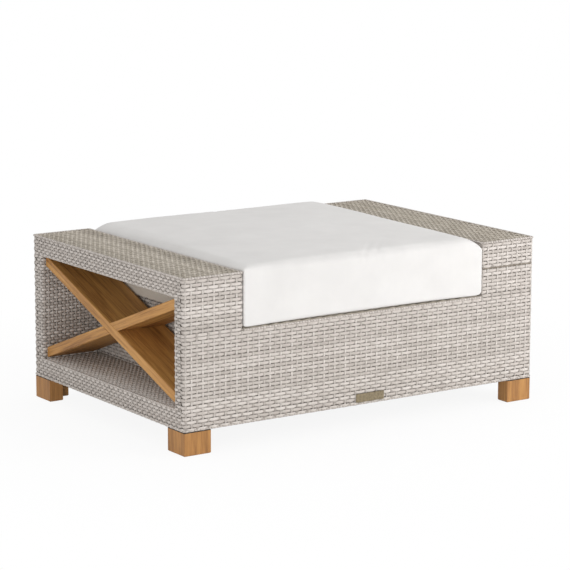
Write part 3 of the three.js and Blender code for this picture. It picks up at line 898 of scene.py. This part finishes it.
# %% Press them in and flatten the seat
def cushion_details(piece):
    spots = read_points(piece)
    normals = read_points(piece, "normal")
    spots[:, 0] *= press_out * settled_half_x / np.abs(spots[:, 0]).max()
    spots[:, 1] *= press_out * settled_front_y / np.abs(spots[:, 1]).max()
    spots[:, 0] = np.clip(spots[:, 0], -settled_half_x, settled_half_x)
    spots[:, 1] = np.clip(spots[:, 1], -settled_front_y, settled_back_y)
    low = float(cover_low[2])
    spots[:, 2] += low - sink - spots[:, 2].min()
    lower_part = np.clip(1 - (spots[:, 2] - low) / skirt_height, 0, 1)
    floor_line = low - lip(spots[:, 1])
    spots[:, 2] = np.maximum(spots[:, 2] - lip(spots[:, 1]) * lower_part, floor_line)
    upper_half = np.clip((spots[:, 2] - low) / edge_height * 2 - 1, 0, 1)
    for hand, depth_sign in ((1, -1), (-1, 1)):
        nearness = np.clip(1 - (settled_half_x - hand * spots[:, 0]) / melt_width, 0, 1)
        along_side = np.clip(melt_middle_share + depth_sign * spots[:, 1] / half_depth, 0, 1)
        spots[:, 2] -= melt_drop * nearness ** 2 * along_side * upper_half

    height = spots[:, 2] - low
    rise = crown * dome(spots[:, 0] / arm_inner, spots[:, 1] / half_depth)
    top_seam = edge_height - face_edge_radius + rise * seam_rise_share
    low_seam = face_edge_radius
    on_face = np.clip(np.abs(normals[:, 1]) * 3 - 1, 0, 1)
    press = (np.exp(-((height - top_seam) / seam_half_width) ** 2)
             + np.exp(-((height - low_seam) / seam_half_width) ** 2)) * on_face
    press *= 1 - np.abs(normals[:, 2])

    on_side = np.abs(normals[:, 0]) > np.abs(normals[:, 1])
    along = np.where(on_side, spots[:, 1], spots[:, 0])
    from_edge = np.minimum(arm_inner - np.abs(spots[:, 0]), half_depth - np.abs(spots[:, 1]))
    near_top = (np.exp(-((height - top_seam) / pucker_fall) ** 2)
                * np.clip(1 - from_edge / pucker_reach, 0, 1))
    fine_wave = np.sin(along * pucker_fine + pucker_drift_size * np.sin(along * pucker_drift))
    broad_wave = np.sin(along * pucker_broad + 2)
    pucker = (fine_wave * pucker_fine_share + broad_wave * pucker_broad_share) * near_top
    pucker *= pucker_least_share + (1 - pucker_least_share) * np.clip(
        np.sin(along * pucker_slow + 1.1), 0, 1)

    upward = np.clip(normals[:, 2], 0, 1)
    behind = np.clip((half_depth - np.abs(spots[:, 1])) / crease_reach, 0, 1)
    slant = spots[:, 0] + crease_slant * np.abs(spots[:, 1])
    creases = np.clip(np.sin(slant * crease_fine + crease_drift_size * np.sin(slant * crease_drift))
                      - crease_threshold, 0, 1)
    creases *= np.clip(np.sin(slant * crease_group + 0.5) + 0.5, 0, 1)
    creases *= (1 - behind) * upward * np.clip(np.sin(slant * crease_slow - 1.6), 0, 1)
    swell = np.sin(spots[:, 0] * swell_x + 0.7) * np.cos(spots[:, 1] * swell_y - 0.4) * upward

    out = (-seam_depth * press + pucker_height * pucker + swell_height * swell
           - crease_depth * creases)
    spots += normals * out[:, None]
    spots[:, 0] = np.clip(spots[:, 0], -settled_half_x, settled_half_x)
    spots[:, 1] = np.clip(spots[:, 1], -widest_front_y, settled_back_y)
    spots[:, 2] = np.maximum(spots[:, 2], floor_line)
    write_points(piece, spots)


# %% A groove for the zip
groove_half = 4.8 * MM
groove_blend = 3 * MM
groove_reach = 20 * MM
groove_end_room = 4 * MM
band_proud = 0.5 * MM


def zip_groove(piece):
    """The cover stands back from the zip band, so that band and slider lie in the open."""
    band_low, band_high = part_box("cushion_zip_band")
    middle = float(band_low[2] + band_high[2]) / 2
    seat = float(band_high[1]) - band_proud
    spots = read_points(piece)
    inside = ((spots[:, 1] > half_depth - groove_reach)
              & (np.abs(spots[:, 0]) < float(band_high[0]) + groove_end_room))
    share = np.clip((np.abs(spots[:, 2] - middle) - groove_half) / groove_blend, 0, 1)
    pressed = seat + (spots[:, 1] - seat) * share
    spots[:, 1] = np.where(inside, np.minimum(spots[:, 1], pressed), spots[:, 1])
    write_points(piece, spots)


# %% Make the cushion
cushion = cushion_start()
cushion_puff(cushion)
smooth = cushion.modifiers.new("settle", "SMOOTH")
smooth.iterations = 2
smooth.factor = 0.5
select_only(cushion)
bpy.ops.object.modifier_apply(modifier="settle")
cushion_details(cushion)
fine = cushion.modifiers.new("fine", "SUBSURF")
fine.levels = 1
fine.render_levels = 1
bpy.ops.object.modifier_apply(modifier="fine")
zip_groove(cushion)
cushion.data.materials.clear()
cushion.data.materials.append(canvas)
bpy.ops.object.shade_smooth()
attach(cushion, "cushion")
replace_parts(cushion, "cushion_cover", "cushion_foam_core")
print("cushion vertices", len(cushion.data.vertices))

# %% [markdown]
# A plain pale floor and soft studio light. The front is the brightest side and the
# open end the darkest, so the largest lamp stands in front of the long side. The
# background is white because the world and the floor show white to the camera, to
# mirrors and to glass, and not because more light falls on the object.

# %% Floor: a pale floor that is white to the camera, except for a faint shade near the feet
floor_size = 14
fade_start = 0.5
fade_end = 1.5
near_white_share = 0.9
deselect()
bpy.ops.mesh.primitive_plane_add(size=floor_size, location=(0, 0, 0))
floor = bpy.context.active_object
floor.name = "studio_floor"
floor_paint, floor_tree, floor_shader = new_material("pale_studio_floor")
set_sockets(floor_shader, Roughness=0.9, Specular_IOR_Level=0.1)
floor_shader.inputs["Base Color"].default_value = linear("#f7f7f7")
floor_coords = add_node(floor_tree, "ShaderNodeTexCoord").outputs["Object"]
floor_reach = add_node(floor_tree, "ShaderNodeVectorMath", {0: floor_coords}, operation="LENGTH")
floor_fade = add_node(floor_tree, "ShaderNodeMapRange", {"Value": floor_reach.outputs["Value"]})
floor_fade.inputs["From Min"].default_value = fade_start
floor_fade.inputs["From Max"].default_value = fade_end
floor_fade.inputs["To Min"].default_value = near_white_share
floor_fade.inputs["To Max"].default_value = 1.0
floor_rays = add_node(floor_tree, "ShaderNodeLightPath")
floor_seen = add_node(floor_tree, "ShaderNodeMath", operation="MAXIMUM")
floor_tree.links.new(floor_rays.outputs["Is Camera Ray"], floor_seen.inputs[0])
floor_tree.links.new(floor_rays.outputs["Is Glossy Ray"], floor_seen.inputs[1])
floor_share = add_node(floor_tree, "ShaderNodeMath", operation="MULTIPLY")
floor_tree.links.new(floor_seen.outputs[0], floor_share.inputs[0])
floor_tree.links.new(floor_fade.outputs["Result"], floor_share.inputs[1])
floor_white = add_node(floor_tree, "ShaderNodeEmission", Color=(1, 1, 1, 1), Strength=1.0)
floor_mix = add_node(floor_tree, "ShaderNodeMixShader", {"Fac": floor_share.outputs[0]})
floor_tree.links.new(floor_shader.outputs[0], floor_mix.inputs[1])
floor_tree.links.new(floor_white.outputs[0], floor_mix.inputs[2])
floor_out = floor_tree.nodes["Material Output"]
floor_tree.links.new(floor_mix.outputs[0], floor_out.inputs["Surface"])
floor.data.materials.append(floor_paint)

# %% World: white for the camera, mirrors and glass, and a dimmer light for the rest
ambient_strength = 0.56
world = bpy.data.worlds.new("studio_world")
bpy.context.scene.world = world
world.use_nodes = True
sky = world.node_tree
sky.nodes.clear()
rays = add_node(sky, "ShaderNodeLightPath")
seen = add_node(sky, "ShaderNodeMath", operation="MAXIMUM")
sky.links.new(rays.outputs["Is Camera Ray"], seen.inputs[0])
sky.links.new(rays.outputs["Is Glossy Ray"], seen.inputs[1])
seen_all = add_node(sky, "ShaderNodeMath", operation="MAXIMUM")
sky.links.new(seen.outputs[0], seen_all.inputs[0])
sky.links.new(rays.outputs["Is Transmission Ray"], seen_all.inputs[1])
ambient = add_node(sky, "ShaderNodeBackground", Color=(1, 1, 1, 1), Strength=ambient_strength)
white = add_node(sky, "ShaderNodeBackground", Color=(1, 1, 1, 1), Strength=1.0)
choose = add_node(sky, "ShaderNodeMixShader", {"Fac": seen_all.outputs[0]})
sky.links.new(ambient.outputs[0], choose.inputs[1])
sky.links.new(white.outputs[0], choose.inputs[2])
add_node(sky, "ShaderNodeOutputWorld", {"Surface": choose.outputs[0]})


# %% Lamps: places in metres, power in watts
def soft_lamp(name, place, aim, width, height, power):
    data = bpy.data.lights.new(name, "AREA")
    data.shape = "RECTANGLE"
    data.size = width
    data.size_y = height
    data.energy = power
    lamp = bpy.data.objects.new(name, data)
    bpy.context.scene.collection.objects.link(lamp)
    lamp.location = place
    lamp.rotation_euler = (Vector(aim) - Vector(place)).to_track_quat("-Z", "Y").to_euler()


soft_lamp("front_softbox", (1.9, -2.4, 1.2), (0.1, 0, 0.3), 2.4, 1.8, 55)
soft_lamp("top_softbox", (0.3, 0.6, 2.9), (0, 0, 0.4), 2.6, 2.2, 19)
soft_lamp("left_fill", (-2.9, -2.2, 0.75), (-0.5, 0, 0.25), 1.4, 1.1, 34)

# %% Camera: solved on the straight edges of the body in the photograph
azimuth = math.radians(34.182)
elevation = math.radians(10.973)
camera_roll = math.radians(0.158)
focal_pixels = 2397.0
photo_side = 570
sensor_width = 36
camera_place = Vector((-3.760, -5.547, 1.629))
lens_data = bpy.data.cameras.new("photo_camera")
lens_data.sensor_width = sensor_width
lens_data.lens = sensor_width * focal_pixels / photo_side
lens_data.clip_end = 100
camera = bpy.data.objects.new("photo_camera", lens_data)
bpy.context.scene.collection.objects.link(camera)
camera.location = camera_place
camera.rotation_euler = (Matrix.Rotation(-azimuth, 3, "Z")
                         @ Matrix.Rotation(math.pi / 2 - elevation, 3, "X")
                         @ Matrix.Rotation(camera_roll, 3, "Z")).to_euler()
bpy.context.scene.camera = camera
bpy.context.scene.view_settings.view_transform = "Standard"
